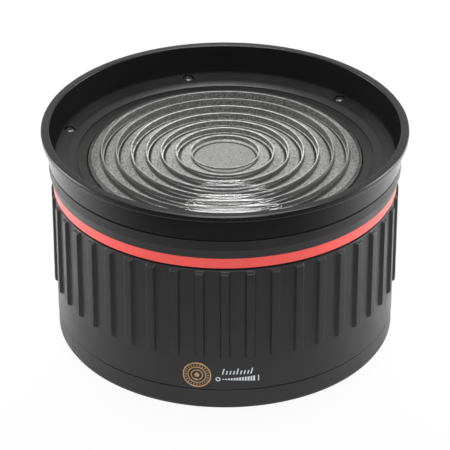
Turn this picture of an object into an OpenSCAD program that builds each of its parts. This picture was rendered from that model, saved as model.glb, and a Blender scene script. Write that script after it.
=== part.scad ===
// Focusing fresnel lens attachment for a studio lamp head.
// The lens carriage telescopes forward as the ribbed focus ring turns.
// Origin on the optical axis at the rear edge of the bayonet, +Z towards the lens.
// Heights named *_h are measured from the rear face of the base ring.

/* [Front bell] */
// Outer radius of the flared front rim
rim_r = 100; // [98.5:0.1:101]
// Radius of the hood's mouth
mouth_r = 95.3; // [94.6:0.1:95.8]
// Height of the rim's widest plane
rim_h = 121.9; // [119:0.1:135]
// Radius of the bell's outer wall
bell_r = 96.35; // [96:0.05:97]

/* [Bezel] */
// Radius of the opening that shows the lens
bezel_bore_r = 75.3; // [75:0.1:76]
// Number of bezel screws
bezel_screws_n = 6; // [3:1:12]
// Radius of the bezel screw circle
bezel_screw_ring_r = 89.6; // [88.5:0.1:89.6]

/* [Lens] */
// Radius of the lens face
lens_r = 74.7; // [72:0.1:74.9]
// Radius of the centre disc
lens_centre_r = 18; // [14:0.1:22]
// Number of raised zones round the centre disc
zone_count = 7; // [3:1:10]
// Rise of the innermost zone's crest
zone_rise_first = 2.6; // [1:0.1:3]
// Extra rise of each further zone's crest
zone_rise_step = 0.3; // [0:0.05:0.3]

/* [Focus ring] */
// Number of grip ribs
rib_count = 44; // [12:4:60]
// Radius of the surface between the ribs
land_r = 93.5; // [93.3:0.1:94]
// Radius of the rib crests
rib_r = 95.3; // [94.6:0.1:96]
// Width of a rib at its foot
rib_foot_w = 5.8; // [4:0.1:6]
// Width of a rib at its crest
rib_crest_w = 3.8; // [2:0.1:4]

/* [Motion] */
// Forward travel of the lens carriage
travel = 30; // [10:1:30]
// Turn of the focus ring that gives the full travel, in degrees
focus_turn = 90; // [60:1:100]

/* [Collar] */
// Radius of the collar's straight band
collar_r = 96.2; // [96:0.05:96.5]
// Radius of the red ring at its front edge
accent_r = 94.5; // [93:0.1:94.8]

/* [Base and mount] */
// Radius of the base ring
base_r = 93.3; // [92.5:0.1:94]
// Outer radius of the bayonet spigot
spigot_r = 49; // [48:0.1:50]
// Radius of the light throat
throat_r = 46; // [40:0.1:47]
// Outer radius of the bayonet lugs
lug_r = 56.5; // [54:0.1:56.7]
// Depth of the bayonet behind the rear plate
mount_depth = 10; // [8:0.5:14]

/* [Hidden] */
$fn = 180;
eps = 0.01;

// heights above the base ring's rear face
plate_top = 4;
base_top = 11.7;
rear_glide_top = 11.85;
sleeve_low = 11.95;
sleeve_high = 85.9;
grip_low = 12.3;
grip_high = 86.7;
rib_low = 31.9;
rib_high = 86.2;
rib_end_slope = 1.6;
skirt_low = 86.95;
accent_low = 88.4;
accent_high = 94.8;
collar_floor = 98.4;
collar_break = 100.4;
collar_high = 105.7;
bell_low = 106.7;
ledge_low = 97;
seat_h = 98.8;
lens_back = 99.6;
lens_rim_top = 101.6;
gasket_top = 102.4;
bell_floor_low = 99;
bell_floor_top = 103.4;
valley_h = 103.65;
recess_floor = 104.9;
hood_foot = 106.85;

// radii of the telescoping parts, from the axis outwards
tube_in_r = 83.3;
tube_r = 85.7;
barrel_in_r = 86;
barrel_r = 88.3;
sleeve_in_r = 88.6;
sleeve_r = 91;
skirt_r = 90.7;
collar_bore_r = barrel_r + 0.05;
flange_in_r = 79;
plug_r = 94.1;
collar_in_r = 94.4;
collar_foot_r = 94.8;
pocket_r = 93;
bezel_r = 92.9;
lens_rim_r = 78.4;
plate_r = 90.5;
base_foot_r = base_r - 1.3;

// bayonet
bayonet_flange_r = 66;
pilot_r = 57;
bayonet_screw_ring_r = 61.5;
flange_t = 2.5;
lug_t = 2.5;
lug_low = 1.5 - mount_depth;
lug_count = 3;
lug_angle = 42;

// cam drive
cam_count = 3;
cam_first = 30;
pin_h = 46;
pin_r = 2;
bush_r = 3;
slot_r = 3.3;
slot_end_r = 3.8;
helix_angle = atan(travel / (focus_turn * PI / 180 * sleeve_r));

// screws: head radius, head height, shank radius, hex socket radius
button_m3 = [2.75, 1.4, 1.5, 1.15];
csk_m3 = [2.8, 1.3, 1.5, 1.15];
csk_m25 = [2.3, 1.1, 1.25, 0.85];
thread_gap = 0.03;
plate_screw_ring_r = 82.6;
tube_screw_ring_r = 81.8;
screw_rows_h = [20, 82];

// roundel on the grip's lower band
badge_r = 7.8;
badge_angle = -99.2;
badge_h = 21.3;

// index tick on the collar
tick_angle = -144;
tick_w = 0.5;

bezel_screw_first = 43.6;

// ---- helpers ----

// Points of an arc round [cx, cy], from angle a0 to a1
function arc(cx, cy, r, a0, a1, n) =
    [for (i = [0 : n]) let (a = a0 + (a1 - a0) * i / n) [cx + r * cos(a), cy + r * sin(a)]];

module raised(h) {
    translate([0, 0, mount_depth + h]) children();
}

module lathe(profile) {
    raised(0) rotate_extrude() polygon(profile);
}

module ring(outer_r, inner_r, low, high) {
    lathe([[inner_r, low], [outer_r, low], [outer_r, high], [inner_r, high]]);
}

module around(count, first = 0) {
    for (i = [0 : count - 1]) rotate([0, 0, first + 360 * i / count]) children();
}

// Lays the local +Z axis along the radius at height h, starting at radius r
module radial(r, h) {
    raised(h) translate([r, 0, 0]) rotate([0, 90, 0]) children();
}

// Button-head screw along -Z, with the head's seat at z = 0
module button_screw(size, length) {
    difference() {
        union() {
            cylinder(r1 = size[0], r2 = size[0] * 0.72, h = size[1]);
            translate([0, 0, -length]) cylinder(r = size[2], h = length + eps);
        }
        translate([0, 0, size[1] * 0.4]) cylinder(r = size[3], h = size[1], $fn = 6);
    }
}

// Countersunk screw along -Z, with the head's flat face at z = 0
module csk_screw(size, length) {
    difference() {
        union() {
            translate([0, 0, -size[1]]) cylinder(r1 = size[2], r2 = size[0], h = size[1]);
            translate([0, 0, -length]) cylinder(r = size[2], h = length - size[1] + eps);
        }
        translate([0, 0, -size[1] * 0.7]) cylinder(r = size[3], h = size[1], $fn = 6);
    }
}

// Hole that csk_screw fits, with the cone let in from z = 0 and open above it
module csk_hole(size, length) {
    gap = thread_gap;
    translate([0, 0, -size[1]]) cylinder(r1 = size[2] + gap, r2 = size[0] + gap, h = size[1]);
    translate([0, 0, -eps]) cylinder(r = size[0] + gap, h = 0.25);
    translate([0, 0, -length]) cylinder(r = size[2] + gap, h = length);
}

// ---- rear housing ----

module bayonet_ring() {
    color("silver") {
        difference() {
            lathe([[throat_r, -mount_depth], [spigot_r - 0.6, -mount_depth],
                   [spigot_r, -mount_depth + 0.6], [spigot_r, 0], [pilot_r - 0.05, 0],
                   [pilot_r - 0.05, plate_top], [bayonet_flange_r, plate_top],
                   [bayonet_flange_r, plate_top + flange_t], [throat_r, plate_top + flange_t]]);
            bayonet_screw_places(plate_top + flange_t)
                csk_hole(csk_m3, flange_t + 1);
        }
        around(lug_count) lug();
    }
}

module lug() {
    raised(lug_low) linear_extrude(lug_t)
        polygon(concat(arc(0, 0, lug_r, -lug_angle / 2, lug_angle / 2, 16),
                       arc(0, 0, spigot_r - 1, lug_angle / 2, -lug_angle / 2, 16)));
}

module bayonet_screw_places(h) {
    around(6, 30) raised(h) translate([bayonet_screw_ring_r, 0, 0]) children();
}

module bayonet_screws() {
    color("dimgray") bayonet_screw_places(plate_top + flange_t) csk_screw(csk_m3, 5.5);
}

module rear_plate() {
    color([0.13, 0.13, 0.14]) difference() {
        ring(plate_r, pilot_r, 0, plate_top);
        bayonet_screw_places(plate_top + eps) translate([0, 0, -3.2])
            cylinder(r = csk_m3[2] + thread_gap, h = 4);
        plate_screw_places() csk_hole(csk_m3, plate_top + 1);
    }
}

module plate_screw_places() {
    around(6) raised(0) translate([plate_screw_ring_r, 0, 0]) rotate([180, 0, 0]) children();
}

module plate_screws() {
    color("dimgray") plate_screw_places() csk_screw(csk_m3, 7.4);
}

module base_ring() {
    color([0.12, 0.12, 0.13])
        lathe([[plate_r + 0.05, 0], [base_foot_r, 0], [base_foot_r + 0.7, 0.35],
               [base_r - 0.2, 1.2], [base_r, 2.4], [base_r, base_top - 0.3],
               [base_r - 0.3, base_top], [plate_r - 0.2, base_top], [plate_r - 0.2, 8],
               [barrel_r, 8], [barrel_r, plate_top], [plate_r + 0.05, plate_top]]);
}

module guide_barrel() {
    color([0.2, 0.2, 0.21]) difference() {
        lathe([[flange_in_r, plate_top], [barrel_r, plate_top], [barrel_r, 8],
               [plate_r - 0.5, 8], [plate_r - 0.5, 11], [barrel_r, 11],
               [barrel_r, collar_floor], [barrel_in_r, collar_floor], [barrel_in_r, 97.5],
               [barrel_in_r + 1, 97.5], [barrel_in_r + 1, 94.5], [barrel_in_r, 94.5],
               [barrel_in_r, 8], [flange_in_r, 8]]);
        plate_screw_places() translate([0, 0, -7.6])
            cylinder(r = csk_m3[2] + thread_gap, h = 5);
        around(cam_count, cam_first) straight_slot();
        collar_screw_places() csk_hole(csk_m25, 4);
    }
}

// Slot along the axis through the barrel's wall, round at both ends
module straight_slot() {
    radial(barrel_in_r - 4, pin_h) cylinder(r = slot_r, h = 10);
    radial(barrel_in_r - 4, pin_h + travel) cylinder(r = slot_r, h = 10);
    raised(pin_h) translate([barrel_in_r - 4, -slot_r, 0]) cube([10, 2 * slot_r, travel]);
}

module glide_rings() {
    color("whitesmoke") {
        ring(plate_r - 0.5, barrel_r, 11, rear_glide_top);
        ring(skirt_r - 0.2, barrel_r, sleeve_high + 0.1, skirt_low);
    }
}

module felt_seal() {
    color([0.07, 0.07, 0.07]) ring(barrel_in_r + 1, barrel_in_r, 94.5, 97.5);
}

module collar_ring() {
    color([0.13, 0.13, 0.14]) difference() {
        lathe([[collar_bore_r, skirt_low], [skirt_r, skirt_low], [skirt_r, accent_high],
               [collar_foot_r, accent_high], [collar_r, collar_break],
               [collar_r, collar_high - 0.3], [collar_r - 0.3, collar_high],
               [collar_in_r, collar_high], [collar_in_r, collar_floor],
               [collar_bore_r, collar_floor]]);
        collar_screw_places() csk_hole(csk_m25, 4);
        rotate([0, 0, tick_angle]) raised(accent_high - 1)
            translate([collar_r - 1, -tick_w / 2, 0]) cube([3, tick_w, 6]);
    }
}

module collar_screw_places() {
    around(6, 15) radial(skirt_r - 0.1, 91.6) children();
}

module collar_screws() {
    color("dimgray") collar_screw_places() csk_screw(csk_m25, 3.8);
}

module red_ring() {
    color([0.88, 0.2, 0.18])
        lathe([[skirt_r, accent_low], [accent_r - 0.7, accent_low],
               [accent_r - 0.5, accent_low + 0.2], [accent_r, accent_high - 0.3],
               [accent_r - 0.2, accent_high], [skirt_r, accent_high]]);
}

// ---- focus ring ----

module cam_sleeve() {
    color([0.35, 0.35, 0.36]) difference() {
        ring(sleeve_r, sleeve_in_r, sleeve_low, sleeve_high);
        around(cam_count, cam_first) helical_slot();
        grip_screw_places() csk_hole(csk_m25, 4);
    }
}

// Slot that climbs by the travel while the ring turns by focus_turn, with a wider hole at each end
module helical_slot() {
    half_h = slot_r / cos(helix_angle);
    half_a = focus_turn * half_h / travel;
    in_r = sleeve_in_r - 3;
    out_r = sleeve_r + 3;
    intersection() {
        raised(pin_h - half_h)
            rotate([0, 0, half_a])
            linear_extrude(travel + 2 * half_h, twist = focus_turn * (travel + 2 * half_h) / travel,
                           slices = 36, $fn = 24)
            polygon(concat(arc(0, 0, out_r, -half_a, half_a, 4),
                           arc(0, 0, in_r, half_a, -half_a, 4)));
        raised(pin_h - 20) linear_extrude(travel + 40)
            polygon(concat([[0, 0]], arc(0, 0, out_r + 5, -focus_turn, 0, 12)));
    }
    radial(in_r, pin_h) cylinder(r = slot_end_r, h = 10);
    rotate([0, 0, -focus_turn]) radial(in_r, pin_h + travel) cylinder(r = slot_end_r, h = 10);
}

module grip_sleeve() {
    color([0.14, 0.14, 0.15]) difference() {
        union() {
            lathe([[sleeve_r, grip_low], [land_r - 0.3, grip_low], [land_r, grip_low + 0.3],
                   [land_r, grip_high - 0.4], [land_r - 0.4, grip_high],
                   [sleeve_r, grip_high]]);
            intersection() {
                raised(rib_low) linear_extrude(rib_high - rib_low) rib_outline();
                lathe([[sleeve_r + 1, rib_low], [land_r, rib_low],
                       [rib_r + 0.1, rib_low + rib_end_slope],
                       [rib_r + 0.1, rib_high - rib_end_slope], [land_r, rib_high],
                       [sleeve_r + 1, rib_high]]);
            }
        }
        grip_screw_places() translate([0, 0, -4])
            cylinder(r = csk_m25[2] + thread_gap, h = 4);
        badge_pocket();
    }
}

// Round recess with a curved floor
module badge_pocket() {
    difference() {
        badge_place(land_r - 2) cylinder(r = badge_r + 0.05, h = 4);
        raised(badge_h - 10) cylinder(r = land_r - 0.4, h = 20);
    }
}

// Outline of the ribbed stretch, one rib centred on the front
module rib_outline() {
    foot = asin(rib_foot_w / 2 / land_r);
    crest = asin(rib_crest_w / 2 / rib_r);
    polygon([for (i = [0 : rib_count - 1], s = [[-foot, land_r - 0.2], [-crest, rib_r],
                                                [crest, rib_r], [foot, land_r - 0.2]])
             let (a = 360 * i / rib_count - 90 + s[0]) [s[1] * cos(a), s[1] * sin(a)]]);
}

// Screws run outwards from the sleeve's bore into the grip
module grip_screw_places() {
    for (h = screw_rows_h) around(3, 0)
        raised(h) translate([sleeve_in_r + 0.15, 0, 0]) rotate([0, -90, 0]) children();
}

module grip_screws() {
    color("dimgray") grip_screw_places() csk_screw(csk_m25, 3.8);
}

module badge_place(r) {
    rotate([0, 0, badge_angle]) radial(r, badge_h) children();
}

module badge() {
    color([0.69, 0.52, 0.33]) intersection() {
        badge_place(land_r - 2) cylinder(r = badge_r, h = 4);
        raised(badge_h - 10) difference() {
            cylinder(r = land_r + 0.15, h = 20);
            translate([0, 0, -eps]) cylinder(r = land_r - 0.35, h = 21);
        }
    }
}

// ---- lens carriage ----

module carriage_tube() {
    color([0.25, 0.25, 0.26]) difference() {
        lathe([[tube_in_r, 38], [tube_r, 38], [tube_r, ledge_low], [flange_in_r + 0.5, ledge_low],
               [flange_in_r + 0.5, 94.5], [tube_in_r, 94.5]]);
        tube_screw_places() csk_hole(csk_m25, 4);
        around(cam_count, cam_first) radial(tube_in_r - 1, pin_h)
            cylinder(r = pin_r + thread_gap, h = 6);
    }
}

module tube_screw_places() {
    around(6, 10) raised(94.5) translate([tube_screw_ring_r, 0, 0])
        rotate([180, 0, 0]) children();
}

module tube_screws() {
    color("dimgray") tube_screw_places() csk_screw(csk_m25, 4.2);
}

module cam_pins() {
    color("silver") around(cam_count, cam_first) {
        radial(tube_in_r - 1.6, pin_h) cylinder(r = 3.2, h = 1.6 - 0.15);
        radial(tube_in_r - 0.2, pin_h) cylinder(r = pin_r, h = sleeve_r - 0.3 - tube_in_r);
    }
}

module pin_bushes() {
    color("ivory") around(cam_count, cam_first) radial(barrel_in_r + 0.1, pin_h)
        difference() {
            cylinder(r = bush_r, h = sleeve_r - 0.5 - barrel_in_r);
            translate([0, 0, -eps]) cylinder(r = pin_r + thread_gap, h = 6);
        }
}

module front_bell() {
    color([0.1, 0.1, 0.11]) difference() {
        lathe(concat(
            [[76, ledge_low], [tube_r, ledge_low], [tube_r, bell_floor_low],
             [plug_r, bell_floor_low], [plug_r, bell_low], [bell_r - 0.3, bell_low],
             [bell_r, bell_low + 0.3], [bell_r, rim_h - 3.2]],
            arc(rim_r - 0.9, rim_h - 1.6, 0.9, -60, 0, 4),
            arc(rim_r - 1, rim_h, 1, 0, 70, 5),
            arc(mouth_r + 0.8, rim_h + 0.35, 0.8, 90, 180, 5),
            [[93.6, hood_foot], [pocket_r, hood_foot], [pocket_r, bell_floor_top],
             [lens_rim_r + 0.3, bell_floor_top], [lens_rim_r + 0.3, seat_h], [76, seat_h]]));
        bezel_screw_places() translate([0, 0, -6])
            cylinder(r = button_m3[2] + thread_gap, h = 8);
        tube_screw_places() translate([0, 0, -4.3])
            cylinder(r = csk_m25[2] + thread_gap, h = 2);
    }
}

module lens_seat_ring() {
    color([0.3, 0.3, 0.3]) ring(lens_rim_r, 76, seat_h, lens_back);
}

// Crest radius and height, then the foot of each zone
module fresnel_lens() {
    pitch = (lens_r - lens_centre_r) / zone_count;
    zones = [for (k = [0 : zone_count - 1])
             let (r = lens_centre_r + pitch * k, crest = zone_rise_first + zone_rise_step * k)
             each [[r, valley_h], [r + 0.5, valley_h + crest],
                   [r + pitch * 0.55, valley_h + crest * 0.58], [r + pitch - 0.05, valley_h + 0.05]]];
    color([0.8, 0.82, 0.82, 0.6])
        lathe(concat([[0, lens_back], [lens_rim_r, lens_back], [lens_rim_r, lens_rim_top],
                      [lens_r, lens_rim_top], [lens_r, valley_h]],
                     [for (i = [len(zones) - 1 : -1 : 0]) zones[i]],
                     [[lens_centre_r * 0.5, valley_h + 0.75], [0, valley_h + 1]]));
}

module lens_gasket() {
    color([0.2, 0.2, 0.2]) ring(lens_rim_r, bezel_bore_r + 0.3, lens_rim_top, gasket_top);
}

module bezel_ring() {
    cove = [for (i = [0 : 6]) let (t = i / 6) [81 + 6 * t, 104.25 + 1.6 * (1 - pow(1 - t, 2))]];
    color([0.12, 0.12, 0.13]) difference() {
        lathe(concat(
            [[bezel_bore_r, gasket_top], [lens_rim_r, gasket_top], [lens_rim_r, bell_floor_top],
             [bezel_r, bell_floor_top], [bezel_r, hood_foot - 0.1]],
            [for (i = [len(cove) - 1 : -1 : 0]) cove[i]],
            [[81, 104.05], [bezel_bore_r + 0.4, 103.7], [bezel_bore_r, 103.4]]));
        bezel_screw_places() cylinder(r = button_m3[0] + 0.4, h = 4);
        bezel_screw_places() translate([0, 0, -3])
            cylinder(r = button_m3[2] + 0.1, h = 4);
    }
}

module bezel_screw_places() {
    around(bezel_screws_n, bezel_screw_first) raised(recess_floor)
        translate([bezel_screw_ring_r, 0, 0]) children();
}

module bezel_screws() {
    color("gray") bezel_screw_places() button_screw(button_m3, 5.5);
}

bayonet_ring();
bayonet_screws();
rear_plate();
plate_screws();
base_ring();
guide_barrel();
glide_rings();
felt_seal();
collar_ring();
collar_screws();
red_ring();
cam_sleeve();
grip_sleeve();
grip_screws();
badge();
carriage_tube();
tube_screws();
cam_pins();
pin_bushes();
front_bell();
lens_seat_ring();
fresnel_lens();
lens_gasket();
bezel_ring();
bezel_screws();
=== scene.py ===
import math

import bmesh
import bpy
from mathutils import Matrix, Vector


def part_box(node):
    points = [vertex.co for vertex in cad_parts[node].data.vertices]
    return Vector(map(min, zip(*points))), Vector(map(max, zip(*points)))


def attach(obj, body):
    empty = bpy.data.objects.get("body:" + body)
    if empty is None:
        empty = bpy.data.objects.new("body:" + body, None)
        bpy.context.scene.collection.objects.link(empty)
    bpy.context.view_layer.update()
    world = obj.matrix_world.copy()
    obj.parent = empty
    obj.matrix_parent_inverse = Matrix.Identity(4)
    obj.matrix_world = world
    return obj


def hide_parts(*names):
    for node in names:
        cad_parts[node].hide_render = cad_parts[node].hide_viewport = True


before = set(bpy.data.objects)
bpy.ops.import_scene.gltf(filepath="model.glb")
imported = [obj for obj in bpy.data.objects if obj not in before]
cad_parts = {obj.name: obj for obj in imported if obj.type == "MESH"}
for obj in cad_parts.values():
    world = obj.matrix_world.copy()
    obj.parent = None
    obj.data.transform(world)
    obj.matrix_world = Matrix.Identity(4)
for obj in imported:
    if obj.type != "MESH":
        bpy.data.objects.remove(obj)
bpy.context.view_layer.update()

# Focusing fresnel attachment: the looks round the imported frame.
# Lengths are metres; profiles are written in millimetres, with heights above the base ring's rear face.

MM = 0.001
BASE_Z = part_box("rear_plate")[0].z
RIM_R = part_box("front_bell")[1].x / MM
GRIP_LOW = (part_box("grip_sleeve")[0].z - BASE_Z) / MM
GRIP_HIGH = (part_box("grip_sleeve")[1].z - BASE_Z) / MM
LENS_BACK = (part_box("fresnel_lens")[0].z - BASE_Z) / MM

# hood, collar and base
MOUTH_R = 95.3
BELL_R = 96.35
HOOD_TOP_H = 122.6
COLLAR_R = 96.2
COLLAR_FOOT_R, COLLAR_FOOT_H = 94.8, 94.8
COLLAR_BREAK_H = 100.4
COLLAR_FLOOR_H = 98.4
COLLAR_TOP_H = 105.7
BASE_R = 93.3
BASE_TOP_H = 11.7
PLATE_OUTER_R = 90.5
PLATE_SCREW_RING_R = 82.6
PLATE_SCREWS = 6
PLATE_SEAT_H = 1.3

# grip
LAND_R = 93.5
SLEEVE_BORE_R = 91.05
RIB_COUNT = 44
RIB_RISE = 1.8
RIB_LOW, RIB_LOW_FULL = 31.9, 33.6
RIB_HIGH, RIB_HIGH_FULL = 86.2, 84.6
RIB_FOOT_HALF, RIB_CREST_HALF = 3.05, 1.75

# bezel
BEZEL_BORE_R = 75.3
BEZEL_SCREW_RING_R = 89.6
BEZEL_SCREW_FIRST = 43.6
BEZEL_SCREWS = 6
BEZEL_SEAT_H = 104.9

# lens
LENS_R = 74.7
LENS_RIM_R = 78.4
LENS_RIM_TOP_H = 101.6
LENS_CENTRE_R = 18.0
ZONE_COUNT = 7
ZONE_PITCH = (LENS_R - LENS_CENTRE_R) / ZONE_COUNT
ZONE_RISE_FIRST, ZONE_RISE_STEP = 2.6, 0.3
VALLEY_H = 103.65

# bands of the lens that carry a glass of their own, measured outwards from a riser or from the axis: painted
# highlight lines on the crests and feet, grey ones further out, and painted shade on the outer edge band and
# in rings on the back
CREST_STARTS, CREST_ENDS = 0.40, 0.80
FOOT_LINE = 0.45
BRIGHT_HIGHLIGHT_LINES_R = 56.0
LENS_SHADE_R = 73.2
RING_SHADE_OFFSET = 1.8
RING_SHADE_WIDTH = 2.8

# emblem and print on the smooth band
BADGE_ANGLE = -99.2
BADGE_H = 21.3
BADGE_R = 7.75
BADGE_RAYS = 24
PRINT_ANGLE = -85.9
PRINT_H = 21.5
PRINT_ROW_Y, PRINT_WEDGE_Y = 2.5, -2.3
INDEX_ANGLE = -144

FINE_SEGMENTS = 288
WELD = 0.002 * MM


# ---------------------------------------------------------------- mesh helpers

def rounded(points, steps=4):
    """Outline with a fillet at each point that carries a third number, its radius."""
    out = []
    for i, (r, z, *fillet) in enumerate(points):
        if not fillet:
            out.append((r, z))
            continue
        corner = Vector((r, z))
        before = (Vector(points[i - 1][:2]) - corner).normalized()
        after = (Vector(points[(i + 1) % len(points)][:2]) - corner).normalized()
        half = before.angle(after) / 2
        centre = corner + (before + after).normalized() * (fillet[0] / math.sin(half))
        start = corner + before * (fillet[0] / math.tan(half)) - centre
        end = corner + after * (fillet[0] / math.tan(half)) - centre
        first = math.atan2(start.y, start.x)
        sweep = (math.atan2(end.y, end.x) - first + math.pi) % math.tau - math.pi
        for k in range(steps + 1):
            a = first + sweep * k / steps
            out.append((centre.x + fillet[0] * math.cos(a), centre.y + fillet[0] * math.sin(a)))
    return out


def supported(outline, gap=0.15, longest=1.2):
    """Adds a point close to both ends of each long side, so that smooth shading stays flat there."""
    out = []
    for i, (r, z) in enumerate(outline):
        a = Vector((r, z))
        b = Vector(outline[(i + 1) % len(outline)])
        out.append(tuple(a))
        length = (b - a).length
        if length > longest:
            out.append(tuple(a.lerp(b, gap / length)))
            out.append(tuple(b.lerp(a, gap / length)))
    return out


def shade(bm, sharp_deg=38):
    for face in bm.faces:
        face.smooth = True
    for edge in bm.edges:
        if len(edge.link_faces) == 2 and edge.calc_face_angle(0) > math.radians(sharp_deg):
            edge.smooth = False


def piece(name, bm, *materials, sharp_deg=38):
    shade(bm, sharp_deg)
    mesh = bpy.data.meshes.new(name)
    bm.to_mesh(mesh)
    bm.free()
    for m in materials:
        mesh.materials.append(m)
    obj = bpy.data.objects.new(name, mesh)
    bpy.context.scene.collection.objects.link(obj)
    return obj


def lathe_mesh(outline, segments, closed=True):
    """Turns an outline of (radius, height) round the axis. A point at radius 0 becomes a pole."""
    bm = bmesh.new()
    rings = []
    for r, h in outline:
        count = segments if r > 0 else 1
        rings.append([bm.verts.new(on_circle(r, math.tau * s / segments, h)) for s in range(count)])
    pairs = list(zip(rings, rings[1:] + rings[:1])) if closed else list(zip(rings, rings[1:]))
    for low, high in pairs:
        for s in range(segments):
            t = (s + 1) % segments
            corners = [low[s % len(low)], low[t % len(low)], high[t % len(high)], high[s % len(high)]]
            unique = list(dict.fromkeys(corners))
            if len(unique) > 2:
                bm.faces.new(unique)
    outwards(bm)
    return bm


def lathe(name, points, material, segments=FINE_SEGMENTS):
    return piece(name, lathe_mesh(supported(rounded(points)), segments), material)


def polar(face):
    """A face's distance from the axis and its height, in millimetres."""
    return math.hypot(face.center.x, face.center.y) / MM, (face.center.z - BASE_Z) / MM


def on_circle(r, angle, h):
    """A point at radius r and height h, given in millimetres."""
    return r * MM * math.cos(angle), r * MM * math.sin(angle), BASE_Z + h * MM


def edited(obj, *changes):
    """Passes obj's mesh through the functions given, each of which changes a bmesh."""
    bm = bmesh.new()
    bm.from_mesh(obj.data)
    for change in changes:
        change(bm)
    bm.to_mesh(obj.data)
    bm.free()


def outwards(bm):
    bmesh.ops.recalc_face_normals(bm, faces=bm.faces)


def welded(bm):
    bmesh.ops.remove_doubles(bm, verts=bm.verts, dist=WELD)
    bmesh.ops.dissolve_degenerate(bm, edges=bm.edges, dist=WELD)


def applied(obj, name, *materials):
    """The evaluated object as a plain mesh of its own; the source object goes."""
    bpy.context.view_layer.update()
    graph = bpy.context.evaluated_depsgraph_get()
    mesh = bpy.data.meshes.new_from_object(obj.evaluated_get(graph))
    mesh.name = name
    out = bpy.data.objects.new(name, mesh)
    bpy.context.scene.collection.objects.link(out)
    bpy.data.objects.remove(obj)
    out.name = name
    if materials:
        mesh.materials.clear()
        for m in materials:
            mesh.materials.append(m)
    return out


# ---------------------------------------------------------------- geometry nodes

def new_tree(name, sockets):
    tree = bpy.data.node_groups.new(name, "GeometryNodeTree")
    tree.interface.new_socket("Geometry", in_out="OUTPUT", socket_type="NodeSocketGeometry")
    tree.interface.new_socket("Geometry", in_out="INPUT", socket_type="NodeSocketGeometry")
    for label, kind, value in sockets:
        item = tree.interface.new_socket(label, in_out="INPUT", socket_type=kind)
        if value is not None:
            item.default_value = value
    return tree


def node(tree, kind, inputs=None, **settings):
    n = tree.nodes.new(kind)
    for key, value in settings.items():
        setattr(n, key, value)
    for key, value in (inputs or {}).items():
        if isinstance(value, bpy.types.NodeSocket):
            tree.links.new(value, n.inputs[key])
        else:
            n.inputs[key].default_value = value
    return n


def maths(tree, operation, a, b=0.0, c=None):
    values = {0: a, 1: b}
    if c is not None:
        values[2] = c
    return node(tree, "ShaderNodeMath", values, operation=operation).outputs[0]


def from_axis(tree, parts):
    """Distance from the axis, from separated X and Y."""
    return maths(tree, "SQRT", maths(tree, "ADD", maths(tree, "MULTIPLY", parts["X"], parts["X"]),
                                     maths(tree, "MULTIPLY", parts["Y"], parts["Y"])))


def object_parts(tree):
    """X, Y and Z of the Object coordinates."""
    place = node(tree, "ShaderNodeTexCoord").outputs["Object"]
    return node(tree, "ShaderNodeSeparateXYZ", {0: place}).outputs


def ring_of_copies_tree():
    """Copies of the incoming mesh, evenly round the axis, joined where they meet."""
    tree = new_tree("ring_of_copies", [
        ("Count", "NodeSocketInt", 6),
        ("First Angle", "NodeSocketFloat", 0.0),
        ("Join Distance", "NodeSocketFloat", 0.00001),
        ("Material", "NodeSocketMaterial", None)])
    given = node(tree, "NodeGroupInput").outputs
    points = node(tree, "GeometryNodePoints", {"Count": given["Count"]})
    step = maths(tree, "DIVIDE", math.tau, given["Count"])
    index = node(tree, "GeometryNodeInputIndex").outputs["Index"]
    angle = maths(tree, "MULTIPLY_ADD", index, step, given["First Angle"])
    turn = node(tree, "ShaderNodeCombineXYZ", {"Z": angle})
    copies = node(tree, "GeometryNodeInstanceOnPoints", {
        "Points": points.outputs[0], "Instance": given["Geometry"], "Rotation": turn.outputs[0]})
    real = node(tree, "GeometryNodeRealizeInstances", {"Geometry": copies.outputs[0]})
    joined = node(tree, "GeometryNodeMergeByDistance", {
        "Geometry": real.outputs[0], "Distance": given["Join Distance"]})
    coated = node(tree, "GeometryNodeSetMaterial", {
        "Geometry": joined.outputs[0], "Material": given["Material"]})
    node(tree, "NodeGroupOutput", {"Geometry": coated.outputs[0]})
    return tree


def stipple_tree():
    """Pushes the selected points of the mesh along its axis by a fine random relief."""
    tree = new_tree("stippled_face", [
        ("Face Height", "NodeSocketFloat", 0.0),
        ("Grain Size", "NodeSocketFloat", 0.0016),
        ("Depth", "NodeSocketFloat", 0.0001),
        ("Seed", "NodeSocketFloat", 3.0),
        ("Clear Radius", "NodeSocketFloat", 0.07),
        ("Material", "NodeSocketMaterial", None)])
    given = node(tree, "NodeGroupInput").outputs
    place = node(tree, "GeometryNodeInputPosition").outputs[0]
    parts = node(tree, "ShaderNodeSeparateXYZ", {0: place}).outputs
    off_face = maths(tree, "ABSOLUTE", maths(tree, "SUBTRACT", parts["Z"], given["Face Height"]))
    on_face = maths(tree, "LESS_THAN", off_face, 0.00001)
    inside = maths(tree, "LESS_THAN", from_axis(tree, parts), given["Clear Radius"])
    chosen = maths(tree, "MULTIPLY", on_face, inside)
    scale = maths(tree, "DIVIDE", 1.0, given["Grain Size"])
    cells = node(tree, "ShaderNodeTexNoise", {
        "Vector": place, "W": given["Seed"], "Scale": scale, "Detail": 2.0}, noise_dimensions="4D")
    lift = maths(tree, "MULTIPLY", maths(tree, "MULTIPLY", cells.outputs[0], given["Depth"]), chosen)
    offset = node(tree, "ShaderNodeCombineXYZ", {"Z": lift})
    moved = node(tree, "GeometryNodeSetPosition", {
        "Geometry": given["Geometry"], "Offset": offset.outputs[0]})
    real = node(tree, "GeometryNodeRealizeInstances", {"Geometry": moved.outputs[0]})
    coated = node(tree, "GeometryNodeSetMaterial", {
        "Geometry": real.outputs[0], "Material": given["Material"]})
    node(tree, "NodeGroupOutput", {"Geometry": coated.outputs[0]})
    return tree


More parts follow.
